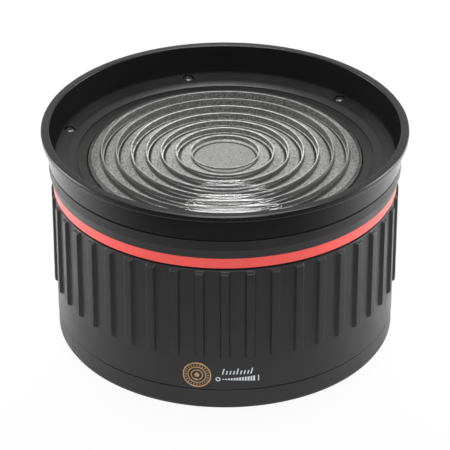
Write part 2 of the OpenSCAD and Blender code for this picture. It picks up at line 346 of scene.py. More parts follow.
def run_tree(obj, tree, **inputs):
    """Gives obj the tree with its inputs, then returns the result as a plain mesh."""
    name = obj.name
    modifier = obj.modifiers.new(tree.name, "NODES")
    modifier.node_group = tree
    sockets = {s.name: s.identifier for s in tree.interface.items_tree if s.in_out == "INPUT"}
    for label, value in inputs.items():
        modifier[sockets[label.replace("_", " ")]] = value
    obj.name = name + "_source"
    return applied(obj, name, inputs["Material"])


RING_OF_COPIES = ring_of_copies_tree()
STIPPLED_FACE = stipple_tree()


# ---------------------------------------------------------------- material effects

def effect_group(name, inputs, outputs):
    tree = bpy.data.node_groups.new(name, "ShaderNodeTree")
    for label, kind, value in inputs:
        tree.interface.new_socket(label, in_out="INPUT", socket_type=kind).default_value = value
    for label, kind in outputs:
        tree.interface.new_socket(label, in_out="OUTPUT", socket_type=kind)
    return tree, node(tree, "NodeGroupInput").outputs


def moulded_grain_group():
    """Fine leather-like grain for a bump, and a slow mottle for colour and roughness."""
    tree, given = effect_group(
        "moulded_grain",
        [("Grain Scale", "NodeSocketFloat", 1500.0), ("Mottle Scale", "NodeSocketFloat", 40.0),
         ("Pit Share", "NodeSocketFloat", 0.5)],
        [("Height", "NodeSocketFloat"), ("Mottle", "NodeSocketFloat")])
    place = node(tree, "ShaderNodeTexCoord").outputs["Object"]
    fine = node(tree, "ShaderNodeTexNoise", {
        "Vector": place, "Scale": given["Grain Scale"], "Detail": 3.0, "Roughness": 0.6})
    pits = node(tree, "ShaderNodeTexVoronoi", {"Vector": place, "Scale": given["Grain Scale"]})
    height = node(tree, "ShaderNodeMix", {
        0: given["Pit Share"], 2: fine.outputs[0], 3: pits.outputs["Distance"]}, data_type="FLOAT")
    slow = node(tree, "ShaderNodeTexNoise", {
        "Vector": place, "Scale": given["Mottle Scale"], "Detail": 5.0, "Roughness": 0.65})
    spread = node(tree, "ShaderNodeMapRange", {
        "Value": slow.outputs[0], "From Min": 0.3, "From Max": 0.7})
    node(tree, "NodeGroupOutput", {"Height": height.outputs[0], "Mottle": spread.outputs[0]})
    return tree


def worn_and_highlit_edges_group():
    """A mask that is white along outer edges, broken up by noise: partly worn edges, partly a painted
    highlight.
    """
    tree, given = effect_group(
        "worn_and_highlit_edges",
        [("Amount", "NodeSocketFloat", 0.3), ("Breakup Scale", "NodeSocketFloat", 400.0)],
        [("Mask", "NodeSocketFloat")])
    bend = node(tree, "ShaderNodeNewGeometry").outputs["Pointiness"]
    edge = node(tree, "ShaderNodeMapRange", {"Value": bend, "From Min": 0.52, "From Max": 0.62})
    place = node(tree, "ShaderNodeTexCoord").outputs["Object"]
    noise_fac = node(tree, "ShaderNodeTexNoise", {
        "Vector": place, "Scale": given["Breakup Scale"], "Detail": 4.0}).outputs[0]
    broken = node(tree, "ShaderNodeMapRange", {"Value": noise_fac, "From Min": 0.35, "From Max": 0.65})
    mask = maths(tree, "MULTIPLY", edge.outputs[0], broken.outputs[0])
    node(tree, "NodeGroupOutput", {"Mask": maths(tree, "MULTIPLY", mask, given["Amount"])})
    return tree


def dust_group():
    """A mask of fine specks on faces that look up."""
    tree, given = effect_group(
        "settled_dust",
        [("Amount", "NodeSocketFloat", 0.2), ("Speck Scale", "NodeSocketFloat", 900.0)],
        [("Mask", "NodeSocketFloat")])
    place = node(tree, "ShaderNodeTexCoord").outputs["Object"]
    up = node(tree, "ShaderNodeSeparateXYZ", {
        0: node(tree, "ShaderNodeNewGeometry").outputs["Normal"]}).outputs["Z"]
    facing = node(tree, "ShaderNodeMapRange", {"Value": up, "From Min": 0.4, "From Max": 1.0})
    specks = node(tree, "ShaderNodeTexVoronoi", {
        "Vector": place, "Scale": given["Speck Scale"], "Randomness": 1.0}).outputs["Distance"]
    dots = node(tree, "ShaderNodeMapRange", {
        "Value": specks, "From Min": 0.16, "From Max": 0.10})
    cloud = node(tree, "ShaderNodeTexNoise", {"Vector": place, "Scale": 60.0, "Detail": 3.0}).outputs[0]
    film = maths(tree, "MULTIPLY", cloud, 0.35)
    both = maths(tree, "MAXIMUM", dots.outputs[0], film)
    mask = maths(tree, "MULTIPLY", maths(tree, "MULTIPLY", both, facing.outputs[0]), given["Amount"])
    node(tree, "NodeGroupOutput", {"Mask": mask})
    return tree


def turned_rings_group():
    """Fine rings round the axis, as a lathe tool leaves them."""
    tree, given = effect_group(
        "turned_rings",
        [("Rings per Metre", "NodeSocketFloat", 2500.0)],
        [("Height", "NodeSocketFloat")])
    parts = object_parts(tree)
    along = maths(tree, "ADD", from_axis(tree, parts), parts["Z"])
    fine = node(tree, "ShaderNodeTexNoise", {
        "W": along, "Scale": given["Rings per Metre"], "Detail": 3.0}, noise_dimensions="1D")
    node(tree, "NodeGroupOutput", {"Height": fine.outputs[0]})
    return tree


GRAIN = moulded_grain_group()
WORN_AND_HIGHLIT_EDGES = worn_and_highlit_edges_group()
DUST = dust_group()
TURNED = turned_rings_group()


def group(tree, kind, **values):
    n = tree.nodes.new("ShaderNodeGroup")
    n.node_tree = kind
    for key, value in values.items():
        n.inputs[key.replace("_", " ")].default_value = value
    return n


def blank_material(name):
    m = bpy.data.materials.new(name)
    m.use_nodes = True
    tree = m.node_tree
    return m, tree, tree.nodes["Principled BSDF"]


def mix_colour(tree, mask, a, b):
    return node(tree, "ShaderNodeMix", {0: mask, 6: a, 7: b}, data_type="RGBA").outputs[2]


def tone(colour, factor):
    return (*[min(1.0, c * factor) for c in colour], 1.0)


# lighter colour of outer edges: partly worn paint, partly a painted highlight
WORN_AND_HIGHLIT_EDGE_COLOUR = (0.32, 0.32, 0.33, 1.0)
DUST_GREY = (0.42, 0.41, 0.39, 1.0)


def finish(name, colour, roughness, metallic=0.0, specular=0.5, grain=1500.0, relief=0.00002,
           pits=0.3, spread=0.08, mottle=0.12, wear_and_highlight=0.0, dust=0.0, turned=0.0, sheen=0.0):
    """A solid finish: mottled colour and roughness, a fine bump, and lighter outer edges and dust on
    request; the lighter edges are partly worn paint and partly a painted highlight.
    """
    m, tree, bsdf = blank_material(name)
    texture = group(tree, GRAIN, Grain_Scale=grain, Pit_Share=pits)
    shown = mix_colour(tree, texture.outputs["Mottle"], tone(colour, 1 - mottle), tone(colour, 1 + mottle))
    rough = node(tree, "ShaderNodeMapRange", {
        "Value": texture.outputs["Mottle"], "To Min": roughness - spread, "To Max": roughness + spread})
    rough_out = rough.outputs[0]
    # lighter outer edges: partly worn paint, partly a painted highlight
    if wear_and_highlight:
        mask = group(tree, WORN_AND_HIGHLIT_EDGES, Amount=wear_and_highlight).outputs["Mask"]
        shown = mix_colour(tree, mask, shown, WORN_AND_HIGHLIT_EDGE_COLOUR)
    if dust:
        mask = group(tree, DUST, Amount=dust).outputs["Mask"]
        shown = mix_colour(tree, mask, shown, DUST_GREY)
        rough_out = maths(tree, "MULTIPLY_ADD", mask, 0.5, rough_out)
    height = texture.outputs["Height"]
    if turned:
        rings = group(tree, TURNED, Rings_per_Metre=turned)
        height = maths(tree, "MULTIPLY_ADD", rings.outputs["Height"], 0.8, height)
    bump = node(tree, "ShaderNodeBump", {"Height": height, "Distance": relief, "Strength": 1.0})
    tree.links.new(shown, bsdf.inputs["Base Color"])
    tree.links.new(rough_out, bsdf.inputs["Roughness"])
    tree.links.new(bump.outputs[0], bsdf.inputs["Normal"])
    bsdf.inputs["Metallic"].default_value = metallic
    bsdf.inputs["Specular IOR Level"].default_value = specular
    bsdf.inputs["Sheen Weight"].default_value = sheen
    return m


def lens_glass(name, dark, light, roughness, transmission, grain, relief, pits, mottle):
    """Pressed glass: waves or pebbles in the surface, speckled in colour and roughness."""
    m, tree, bsdf = blank_material(name)
    texture = group(tree, GRAIN, Grain_Scale=grain, Pit_Share=pits, Mottle_Scale=mottle)
    tint = mix_colour(tree, texture.outputs["Mottle"], (*dark, 1.0), (*light, 1.0))
    rough = node(tree, "ShaderNodeMapRange", {
        "Value": texture.outputs["Mottle"], "To Min": roughness[0], "To Max": roughness[1]})
    bump = node(tree, "ShaderNodeBump", {
        "Height": texture.outputs["Height"], "Distance": relief, "Strength": 1.0})
    tree.links.new(tint, bsdf.inputs["Base Color"])
    tree.links.new(rough.outputs[0], bsdf.inputs["Roughness"])
    tree.links.new(bump.outputs[0], bsdf.inputs["Normal"])
    bsdf.inputs["IOR"].default_value = 1.5
    bsdf.inputs["Transmission Weight"].default_value = transmission
    return m


def darken_from_inside(material, dark):
    """Painted shade: faces seen from inside the glass take a dark colour, standing in for the light that the
    risers trap.
    """
    tree = material.node_tree
    bsdf = tree.nodes["Principled BSDF"]
    outside = bsdf.inputs["Base Color"].links[0].from_socket
    inside = node(tree, "ShaderNodeNewGeometry").outputs["Backfacing"]
    tree.links.new(mix_colour(tree, inside, outside, (*dark, 1.0)), bsdf.inputs["Base Color"])


def darken_in_rings(material, dark, first_r, pitch, width):
    """Rings of shade where the steps of the front keep the light from the back of the lens."""
    tree = material.node_tree
    bsdf = tree.nodes["Principled BSDF"]
    plain = bsdf.inputs["Base Color"].links[0].from_socket
    across = from_axis(tree, object_parts(tree))
    from_ring = maths(tree, "PINGPONG", maths(tree, "SUBTRACT", across, first_r * MM), pitch * MM / 2)
    mask = node(tree, "ShaderNodeMapRange", {
        "Value": from_ring, "From Min": width * MM * 0.25, "From Max": width * MM * 0.75,
        "To Min": 1.0, "To Max": 0.0}, interpolation_type="SMOOTHSTEP")
    outside = maths(tree, "GREATER_THAN", across, (first_r - width) * MM)
    shaded = maths(tree, "MULTIPLY", mask.outputs[0], outside)
    tree.links.new(mix_colour(tree, shaded, plain, (*dark, 1.0)), bsdf.inputs["Base Color"])


# the wear amounts below give lighter outer edges: partly worn paint, partly a painted highlight
BELL_PAINT = finish("bell_satin_paint", (0.0028, 0.0028, 0.003), 0.26, specular=0.45, grain=2600.0,
                    relief=0.000004, spread=0.02, wear_and_highlight=0.03, dust=0.004)
# matt paint of the hood's inside; where it is put at the seam between bell and collar, its darker colour is
# painted shade
HOOD_PAINT_AND_SEAM_SHADE = finish("hood_matt_paint_and_seam_shade", (0.006, 0.006, 0.0065), 0.6, specular=0.03, grain=2200.0,
                    relief=0.00001, spread=0.05, dust=0.03)
BEZEL_PAINT = finish("bezel_satin_paint", (0.004, 0.004, 0.0043), 0.38, specular=0.4, grain=2200.0,
                     relief=0.00001, spread=0.05, dust=0.03)
COLLAR_PAINT = finish("collar_fine_texture", (0.014, 0.0142, 0.0146), 0.45, specular=0.35, grain=2100.0,
                      relief=0.00003, wear_and_highlight=0.08)
GRIP_PLASTIC = finish("grip_moulded_plastic", (0.0155, 0.0156, 0.0162), 0.46, specular=0.4, grain=1700.0,
                      relief=0.00003, pits=0.4, wear_and_highlight=0.06, dust=0.02)
BASE_PAINT = finish("base_fine_texture", (0.0165, 0.0165, 0.017), 0.47, specular=0.4, grain=1900.0,
                    relief=0.00003, wear_and_highlight=0.08)
ACCENT_RED = finish("accent_red_anodised", (0.86, 0.095, 0.082), 0.42, specular=0.5, grain=2400.0,
                    relief=0.000008, mottle=0.05, spread=0.05, wear_and_highlight=0.05)
DARK_ANODISED = finish("dark_anodised", (0.035, 0.035, 0.038), 0.38, metallic=0.6, grain=2600.0,
                       relief=0.000006, turned=2600.0)
MOUNT_METAL = finish("machined_mount_metal", (0.62, 0.62, 0.63), 0.32, metallic=1.0, grain=2400.0,
                     relief=0.000006, turned=2200.0, mottle=0.06)
SCREW_OXIDE = finish("black_oxide_screw", (0.09, 0.09, 0.095), 0.30, metallic=0.8, grain=3200.0,
                     relief=0.000006, wear_and_highlight=0.25)
PIN_STEEL = finish("ground_pin_steel", (0.55, 0.55, 0.57), 0.25, metallic=1.0, grain=3000.0,
                   relief=0.000004)
GLIDE_PLASTIC = finish("glide_plastic", (0.80, 0.80, 0.77), 0.40, grain=2400.0, relief=0.000008,
                       mottle=0.05)
BUSH_NYLON = finish("bush_nylon", (0.74, 0.70, 0.58), 0.45, grain=2400.0, relief=0.000008, mottle=0.05)
SEAL_FELT = finish("seal_felt", (0.012, 0.012, 0.012), 0.95, grain=2600.0, relief=0.0002, sheen=0.4)
SILICONE = finish("silicone_rubber", (0.045, 0.045, 0.046), 0.6, grain=1800.0, relief=0.00001)
BADGE_BRONZE = finish("badge_bronze", (0.52, 0.31, 0.14), 0.38, metallic=0.75, grain=2600.0,
                      relief=0.000006, mottle=0.1, wear_and_highlight=0.15)
BADGE_FIELD = finish("badge_dark_field", (0.035, 0.033, 0.031), 0.5, grain=2200.0, relief=0.00001)
PRINT_INK = finish("scale_print_ink", (0.52, 0.55, 0.58), 0.55, grain=3000.0, relief=0.000004,
                   mottle=0.08)
LENS_GLASS = lens_glass("pressed_lens_glass", (0.92, 0.93, 0.92), (0.98, 0.98, 0.98), (0.04, 0.09),
                        transmission=1.0, grain=300.0, relief=0.000003, pits=0.0, mottle=90.0)
# painted shade: dark riser faces and the dark outer edge band of the lens
LENS_PAINTED_SHADE = lens_glass("lens_painted_shade_glass", (0.012, 0.012, 0.012), (0.15, 0.15, 0.146), (0.15, 0.3),
                        transmission=0.05, grain=1100.0, relief=0.00005, pits=0.3, mottle=1100.0)
# painted highlight: bright lines on the crests and feet of the lens zones
LENS_PAINTED_HIGHLIGHT = lens_glass("lens_painted_highlight_lines", (0.45, 0.45, 0.44), (1.0, 1.0, 0.98), (0.2, 0.4),
                       transmission=0.15, grain=900.0, relief=0.00002, pits=0.3, mottle=400.0)
LENS_STIPPLE = lens_glass("stippled_lens_back", (0.16, 0.16, 0.15), (1.0, 1.0, 0.97), (0.22, 0.42),
                          transmission=0.05, grain=1300.0, relief=0.0003, pits=0.5, mottle=1300.0)
# grey back of the centre disc; the same grey paints the dimmer highlight lines on the outer zones
LENS_CENTRE = lens_glass("lens_centre_back", (0.12, 0.12, 0.115), (0.62, 0.62, 0.60), (0.25, 0.45),
                         transmission=0.05, grain=1300.0, relief=0.0002, pits=0.5, mottle=1700.0)
darken_from_inside(LENS_PAINTED_SHADE, (0.012, 0.012, 0.012))
# painted shade in rings on the stippled back
darken_in_rings(LENS_STIPPLE, (0.015, 0.015, 0.014), LENS_CENTRE_R - RING_SHADE_OFFSET,
                ZONE_PITCH, RING_SHADE_WIDTH)
# light that meets the pebbled back at a slant is turned back up, as by a mirror
LENS_STIPPLE.node_tree.nodes["Principled BSDF"].inputs["Metallic"].default_value = 0.3


# ---------------------------------------------------------------- lens carriage

def front_bell():
    """Hood with its flared rim, outer wall and the floor that carries the lens."""
    outline = [
        (76, 97), (85.7, 97), (85.7, 99), (94.1, 99, 0.3), (94.1, 106.7), (BELL_R, 106.7, 0.12),
        (BELL_R, 118.7, 0.5), (RIM_R, 119.5, 0.9), (RIM_R, 122.85, 1.1), (MOUTH_R, 123.05, 1.0),
        (93.6, 106.85, 0.3), (93.0, 106.85), (93.0, 103.4), (78.7, 103.4), (78.7, 98.8), (76, 98.8)]
    bell = lathe("bell_shell", outline, BELL_PAINT)
    # the hood's inside takes the matt hood paint, and so do the faces of the bell's foot down in the seam
    # over the collar, as painted shade
    bell.data.materials.append(HOOD_PAINT_AND_SEAM_SHADE)
    for face in bell.data.polygons:
        across, height = polar(face)
        if across < MOUTH_R + 0.05 and height < HOOD_TOP_H:
            face.material_index = 1
    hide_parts("front_bell")
    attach(bell, "lens_carriage")


def counterbored(obj, radius, ring_r, count, first_deg, low, high):
    """Cuts round holes along the axis into obj."""
    bm = bmesh.new()
    for i in range(count):
        a = math.radians(first_deg + 360 * i / count)
        made = bmesh.ops.create_cone(bm, cap_ends=True, segments=48, radius1=radius * MM,
                                     radius2=radius * MM, depth=(high - low) * MM)
        bmesh.ops.translate(bm, verts=made["verts"], vec=on_circle(ring_r, a, (low + high) / 2))
    cutter = piece("cutter", bm)
    modifier = obj.modifiers.new("holes", "BOOLEAN")
    modifier.operation = "DIFFERENCE"
    modifier.solver = "EXACT"
    modifier.object = cutter
    materials = list(obj.data.materials)
    out = applied(obj, obj.name, *materials)
    bpy.data.objects.remove(cutter)
    edited(out, welded, lambda bm: shade(bm, 30))
    return out


def bezel():
    """Ring that holds the lens, with a coved inner edge and six screw recesses."""
    cove = [(81 + 6 * t / 8, 104.25 + 1.6 * (1 - (1 - t / 8) ** 2)) for t in range(9)]
    outline = rounded(
        [(BEZEL_BORE_R, 102.4), (78.4, 102.4), (78.4, 103.4), (92.9, 103.4), (92.9, 106.75, 0.15)]
        + cove[::-1] + [(80.95, 103.75), (80.55, 103.75), (80.5, 104.02), (76.3, 103.72, 0.5),
                        (BEZEL_BORE_R, 103.2, 0.25)])
    ring = piece("bezel", lathe_mesh(supported(outline, 0.1), FINE_SEGMENTS), BEZEL_PAINT)
    ring = counterbored(ring, 3.15, BEZEL_SCREW_RING_R, BEZEL_SCREWS, BEZEL_SCREW_FIRST, BEZEL_SEAT_H, 109)
    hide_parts("bezel_ring")
    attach(ring, "lens_carriage")


def socket_screw_mesh(crown, socket_r, socket_depth, sides=24):
    """Screw head from its crown profile, with a hexagon socket let into the top."""
    bm = bmesh.new()
    rings = []
    for r, z in crown:
        rings.append([bm.verts.new((r * MM * math.cos(math.tau * s / sides),
                                    r * MM * math.sin(math.tau * s / sides), z * MM))
                      for s in range(sides)])
    top = crown[-1][1]
    for grow, z in ((1.08, top), (1.0, top - 0.06), (1.0, top - socket_depth)):
        ring = []
        for s in range(sides):
            a = math.tau * s / sides
            within = (a + math.pi / 6) % (math.pi / 3) - math.pi / 6
            r = socket_r * grow * math.cos(math.pi / 6) / math.cos(within)
            ring.append(bm.verts.new((r * MM * math.cos(a), r * MM * math.sin(a), z * MM)))
        rings.append(ring)
    for low, high in zip(rings, rings[1:]):
        for s in range(sides):
            t = (s + 1) % sides
            bm.faces.new((low[s], low[t], high[t], high[s]))
    bm.faces.new(rings[-1])
    bm.faces.new(rings[0][::-1])
    outwards(bm)
    return bm


def ring_of_screws(name, crown, socket_r, socket_depth, ring_r, first_deg, count, height, flip=False):
    bm = socket_screw_mesh(crown, socket_r, socket_depth)
    if flip:
        bmesh.ops.rotate(bm, verts=bm.verts, matrix=Matrix.Rotation(math.pi, 3, "X"))
    bmesh.ops.translate(bm, verts=bm.verts, vec=(ring_r * MM, 0, BASE_Z + height * MM))
    seed = piece(name, bm, SCREW_OXIDE, sharp_deg=35)
    screws = run_tree(seed, RING_OF_COPIES, Count=count, First_Angle=math.radians(first_deg),
                      Join_Distance=0.000001, Material=SCREW_OXIDE)
    return screws


def bezel_screws():
    crown = [(1.5, -4.0), (1.5, 0.0), (2.7, 0.0), (2.75, 0.12), (2.68, 0.42), (2.45, 0.78),
             (2.05, 1.12), (1.6, 1.32), (1.35, 1.38)]
    screws = ring_of_screws("bezel_screw_heads", crown, 1.15, 0.75, BEZEL_SCREW_RING_R,
                            BEZEL_SCREW_FIRST, BEZEL_SCREWS, BEZEL_SEAT_H)
    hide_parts("bezel_screws")
    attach(screws, "lens_carriage")


def lens_outline():
    """Centre disc, then zones that climb at a riser and fall away outwards."""
    front = [(LENS_CENTRE_R * t / 6, VALLEY_H + 1.0 - 0.95 * (t / 6) ** 2) for t in range(6)]
    front.append((LENS_CENTRE_R - 0.15, VALLEY_H + 0.06))
    for k in range(ZONE_COUNT):
        r = LENS_CENTRE_R + ZONE_PITCH * k
        crest = ZONE_RISE_FIRST + ZONE_RISE_STEP * k
        front += [(r + 0.05, VALLEY_H), (r + 0.22, VALLEY_H + crest * 0.5),
                  (r + 0.38, VALLEY_H + crest - 0.22), (r + 0.52, VALLEY_H + crest - 0.04),
                  (r + 0.72, VALLEY_H + crest - 0.08)]
        for t in (0.2, 0.32, 0.44, 0.56, 0.68, 0.81, 0.88):
            front.append((r + ZONE_PITCH * t, VALLEY_H + crest * (1 - t) * (1 + 0.30 * t)))
        front += [(r + ZONE_PITCH - FOOT_LINE, VALLEY_H + 0.13), (r + ZONE_PITCH - 0.12, VALLEY_H + 0.07)]
    rim = [(LENS_R, VALLEY_H - 0.05), (LENS_R, VALLEY_H - 0.3), (LENS_R, LENS_RIM_TOP_H + 0.1),
           (LENS_R + 0.1, LENS_RIM_TOP_H), (LENS_RIM_R - 0.1, LENS_RIM_TOP_H),
           (LENS_RIM_R, LENS_RIM_TOP_H - 0.1), (LENS_RIM_R, LENS_BACK + 0.1),
           (LENS_RIM_R - 0.1, LENS_BACK), (76, LENS_BACK)]
    rings = 96
    back = [(74.5 * (rings - i) / rings, LENS_BACK) for i in range(rings + 1)]
    return front + rim + back


def fresnel_lens():
    """Pressed glass lens; the back face is a separate finish and carries a real stipple. Crest and foot
    lines carry painted highlights; risers, the outer edge band and rings on the back carry painted shade.
    """
    glass = piece("lens_glass", lathe_mesh(lens_outline(), 384, closed=False), LENS_GLASS, sharp_deg=50)
    glass = run_tree(glass, STIPPLED_FACE, Face_Height=BASE_Z + LENS_BACK * MM, Grain_Size=0.0016,
                     Depth=0.00022, Seed=3.0, Clear_Radius=0.0746, Material=LENS_GLASS)
    for extra in (LENS_STIPPLE, LENS_PAINTED_SHADE, LENS_PAINTED_HIGHLIGHT, LENS_CENTRE):
        glass.data.materials.append(extra)
    # finishes: 1 stippled back, 2 painted shade, 3 painted highlight, 4 grey centre back and dim highlight
    stipple, riser, bright, grey = 1, 2, 3, 4
    for face in glass.data.polygons:
        across, height = polar(face)
        past_riser = (across - LENS_CENTRE_R) % ZONE_PITCH
        on_foot = across > LENS_CENTRE_R - FOOT_LINE and past_riser > ZONE_PITCH - FOOT_LINE
        on_crest = across > LENS_CENTRE_R and CREST_STARTS < past_riser < CREST_ENDS
        if across > LENS_R:
            continue
        if height < LENS_BACK + 0.3:
            face.material_index = grey if across < LENS_CENTRE_R - RING_SHADE_OFFSET else stipple
        # painted shade: the outer edge band of the front
        elif across > LENS_SHADE_R:
            face.material_index = riser
        # painted highlights: bright crest and foot lines near the middle, grey ones further out
        elif on_foot or on_crest:
            face.material_index = bright if across < BRIGHT_HIGHLIGHT_LINES_R else grey
        # painted shade: the steep riser faces
        elif abs(face.normal.z) < 0.5:
            face.material_index = riser
    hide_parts("fresnel_lens")
    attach(glass, "lens_carriage")


# ---------------------------------------------------------------- focus ring

def smooth_step(low, high, x):
    t = min(1.0, max(0.0, (x - low) / (high - low)))
    return t * t * (3 - 2 * t)


def rib_lift(across, height):
    """How far a rib stands out, at a distance from its centre line and a height."""
    flank = smooth_step(RIB_FOOT_HALF, RIB_CREST_HALF, across)
    ends = smooth_step(RIB_LOW, RIB_LOW_FULL, height) * smooth_step(RIB_HIGH, RIB_HIGH_FULL, height)
    return RIB_RISE * flank * ends


def grip():
    """One rib with its share of the sleeve, repeated round the axis and joined into one shell."""
    pitch_half = math.pi / RIB_COUNT
    across = [0.0, 0.8, 1.5, RIB_CREST_HALF, 1.92, 2.08, 2.24, 2.4, 2.56, 2.72, 2.88, RIB_FOOT_HALF,
              3.3, 4.2, 5.4]
    angles = [x / LAND_R for x in across] + [pitch_half]
    angles = [-a for a in angles[:0:-1]] + angles
    rows = [12.75, 13.2, 22, 31, 31.6]
    rows += [RIB_LOW + (RIB_LOW_FULL - RIB_LOW) * t / 6 for t in range(7)] + [34.2, 45, 60, 74, 83.9]
    rows += [RIB_HIGH_FULL + (RIB_HIGH - RIB_HIGH_FULL) * t / 6 for t in range(7)] + [86.32]
    outline = [(SLEEVE_BORE_R, GRIP_LOW), (92.9, GRIP_LOW), (93.2, GRIP_LOW + 0.03), (93.4, GRIP_LOW + 0.14),
               (93.48, GRIP_LOW + 0.28)]
    outline += [(LAND_R, h) for h in rows]
    outline += [(93.42, GRIP_HIGH - 0.22), (93.25, GRIP_HIGH - 0.07), (93.0, GRIP_HIGH),
                (SLEEVE_BORE_R, GRIP_HIGH)]
    bm = bmesh.new()
    columns = []
    for a in angles:
        turn = a - math.pi / 2
        column = []
        for r, h in outline:
            lift = rib_lift(abs(a) * LAND_R, h) if r == LAND_R else 0.0
            column.append(bm.verts.new(on_circle(r + lift, turn, h)))
        columns.append(column)
    for left, right in zip(columns, columns[1:]):
        for i in range(len(outline)):
            j = (i + 1) % len(outline)
            bm.faces.new((left[i], right[i], right[j], left[j]))
    sleeve = run_tree(piece("grip", bm, GRIP_PLASTIC), RING_OF_COPIES, Count=RIB_COUNT,
                      First_Angle=0.0, Join_Distance=0.000008, Material=GRIP_PLASTIC)
    edited(sleeve, outwards, lambda bm: shade(bm, 45))
    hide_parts("grip_sleeve")
    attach(sleeve, "focus_ring")


def wrapped(bm, centre_deg, centre_h, surface_r=LAND_R):
    """Bends a flat drawing (x across, y up, z outwards, in millimetres) onto the band."""
    for v in bm.verts:
        a = math.radians(centre_deg) + v.co.x / surface_r
        v.co = on_circle(surface_r + v.co.z, a, centre_h + v.co.y)


def flat_ring(bm, inner, outer, low, high, segments=72, edge=0.06):
    """Raised ring with softened upper edges; an inner radius of 0 gives a disc."""
    profile = [(outer, low), (outer, high - edge), (outer - edge, high)]
    if inner > 0:
        profile += [(inner + edge, high), (inner, high - edge), (inner, low)]
    turns = [math.tau * s / segments for s in range(segments)]
    rings = [[bm.verts.new((r * math.cos(a), r * math.sin(a), z)) for a in turns] for r, z in profile]
    pairs = list(zip(rings, rings[1:]))
    if inner > 0:
        pairs.append((rings[-1], rings[0]))
    else:
        bm.faces.new(rings[-1])
        bm.faces.new(rings[0][::-1])
    for a, b in pairs:
        for s in range(segments):
            t = (s + 1) % segments
            bm.faces.new((a[s], a[t], b[t], b[s]))


def bar(bm, x, y, w, h, low, high, slant=0.0):
    """Upright bar with a flat top; slant leans it."""
    corners = [(x - w / 2, y - h / 2), (x + w / 2, y - h / 2), (x + w / 2, y + h / 2),
               (x - w / 2, y + h / 2)]
    corners = [(a + slant * (b - y), b) for a, b in corners]
    bottom = [bm.verts.new((a, b, low)) for a, b in corners]
    top = [bm.verts.new((a, b, high)) for a, b in corners]
    bm.faces.new(bottom[::-1])
    bm.faces.new(top)
    for i in range(4):
        j = (i + 1) % 4
        bm.faces.new((bottom[i], bottom[j], top[j], top[i]))


def roundel():
    """Plain bronze roundel: rim, stepped rings and a ring of short rays, on a dark field."""
    bm = bmesh.new()
    flat_ring(bm, 0, BADGE_R - 0.1, -0.35, 0.03)
    field_faces = len(bm.faces)
    flat_ring(bm, BADGE_R - 0.75, BADGE_R - 0.02, -0.3, 0.14)
    flat_ring(bm, 4.55, 5.1, 0.0, 0.12)
    flat_ring(bm, 2.75, 3.3, 0.0, 0.12)
    flat_ring(bm, 0, 1.35, 0.0, 0.12, segments=32)
    for i in range(BADGE_RAYS):
        start = len(bm.verts)
        bar(bm, 6.05, 0, 1.05, 0.42, 0.0, 0.12)
        bm.verts.ensure_lookup_table()
        bmesh.ops.rotate(bm, verts=bm.verts[start:],
                         matrix=Matrix.Rotation(math.tau * i / BADGE_RAYS, 3, "Z"))
    outwards(bm)
    bm.faces.ensure_lookup_table()
    for i, face in enumerate(bm.faces):
        face.material_index = 1 if i < field_faces else 0
    wrapped(bm, BADGE_ANGLE, BADGE_H)
    disc = piece("roundel", bm, BADGE_BRONZE, BADGE_FIELD, sharp_deg=35)
    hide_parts("badge")
    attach(disc, "focus_ring")


def scale_print():
    """Pad-printed beam scale: a row of ticks above a narrow-to-wide wedge between two end marks."""
    bm = bmesh.new()
    low, high = -0.02, 0.045
    left, tick_high, tick_low = -7.6, 3.6, 2.3
    for i in range(9):
        tall = tick_high if i % 4 == 0 else tick_low
        bar(bm, left + 1.9 * i, PRINT_ROW_Y - (tick_high - tall) / 2, 0.75, tall, low, high, slant=0.25)
    start = len(bm.verts)
    flat_ring(bm, 0.75, 1.35, low, high, segments=32, edge=0.01)
    bm.verts.ensure_lookup_table()
    bmesh.ops.translate(bm, verts=bm.verts[start:], vec=(-10.4, PRINT_WEDGE_Y, 0))
    wedge_steps = 12
    for i in range(wedge_steps):
        wide = 0.5 + 2.6 * i / (wedge_steps - 1)
        bar(bm, left + 1.5 * i, PRINT_WEDGE_Y, 1.05, wide, low, high)
    bar(bm, 11.3, PRINT_WEDGE_Y, 0.6, 3.6, low, high)
    outwards(bm)
    wrapped(bm, PRINT_ANGLE, PRINT_H)
    ink = piece("scale_print", bm, PRINT_INK)
    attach(ink, "focus_ring")


# ---------------------------------------------------------------- housing

def collar():
    """Ring under the bell, with a sloped foot; its inside top faces take the darker matt hood paint, painted
    shade that keeps the seam above it dark.
    """
    outline = [(88.3, 86.95), (90.7, 86.95), (90.7, COLLAR_FOOT_H), (COLLAR_FOOT_R, COLLAR_FOOT_H, 0.25),
               (COLLAR_R, COLLAR_BREAK_H, 0.8), (COLLAR_R, COLLAR_TOP_H, 0.15), (94.4, COLLAR_TOP_H, 0.2),
               (94.4, COLLAR_FLOOR_H), (88.3, COLLAR_FLOOR_H)]
    ring = lathe("collar", outline, COLLAR_PAINT)
    ring.data.materials.append(HOOD_PAINT_AND_SEAM_SHADE)
    # painted shade: the collar's inside top faces take the darker hood paint
    for face in ring.data.polygons:
        across, height = polar(face)
        if height > COLLAR_FLOOR_H - 0.4 and across < COLLAR_R - 0.1:
            face.material_index = 1
    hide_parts("collar_ring")
    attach(ring, "housing")


def index_tick():
    """Fine index line on the collar's sloped foot."""
    bm = bmesh.new()
    slope = (COLLAR_R - COLLAR_FOOT_R) / (COLLAR_BREAK_H - COLLAR_FOOT_H)
    for x in (-0.14, 0.14):
        for h in (95.0, 99.6):
            for out in (-0.1, 0.02):
                r = COLLAR_FOOT_R + slope * (h - COLLAR_FOOT_H) + out
                bm.verts.new(on_circle(r, math.radians(INDEX_ANGLE) + x / 95.5, h))
    bmesh.ops.convex_hull(bm, input=bm.verts)
    mark = piece("index_tick", bm, SILICONE)
    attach(mark, "housing")


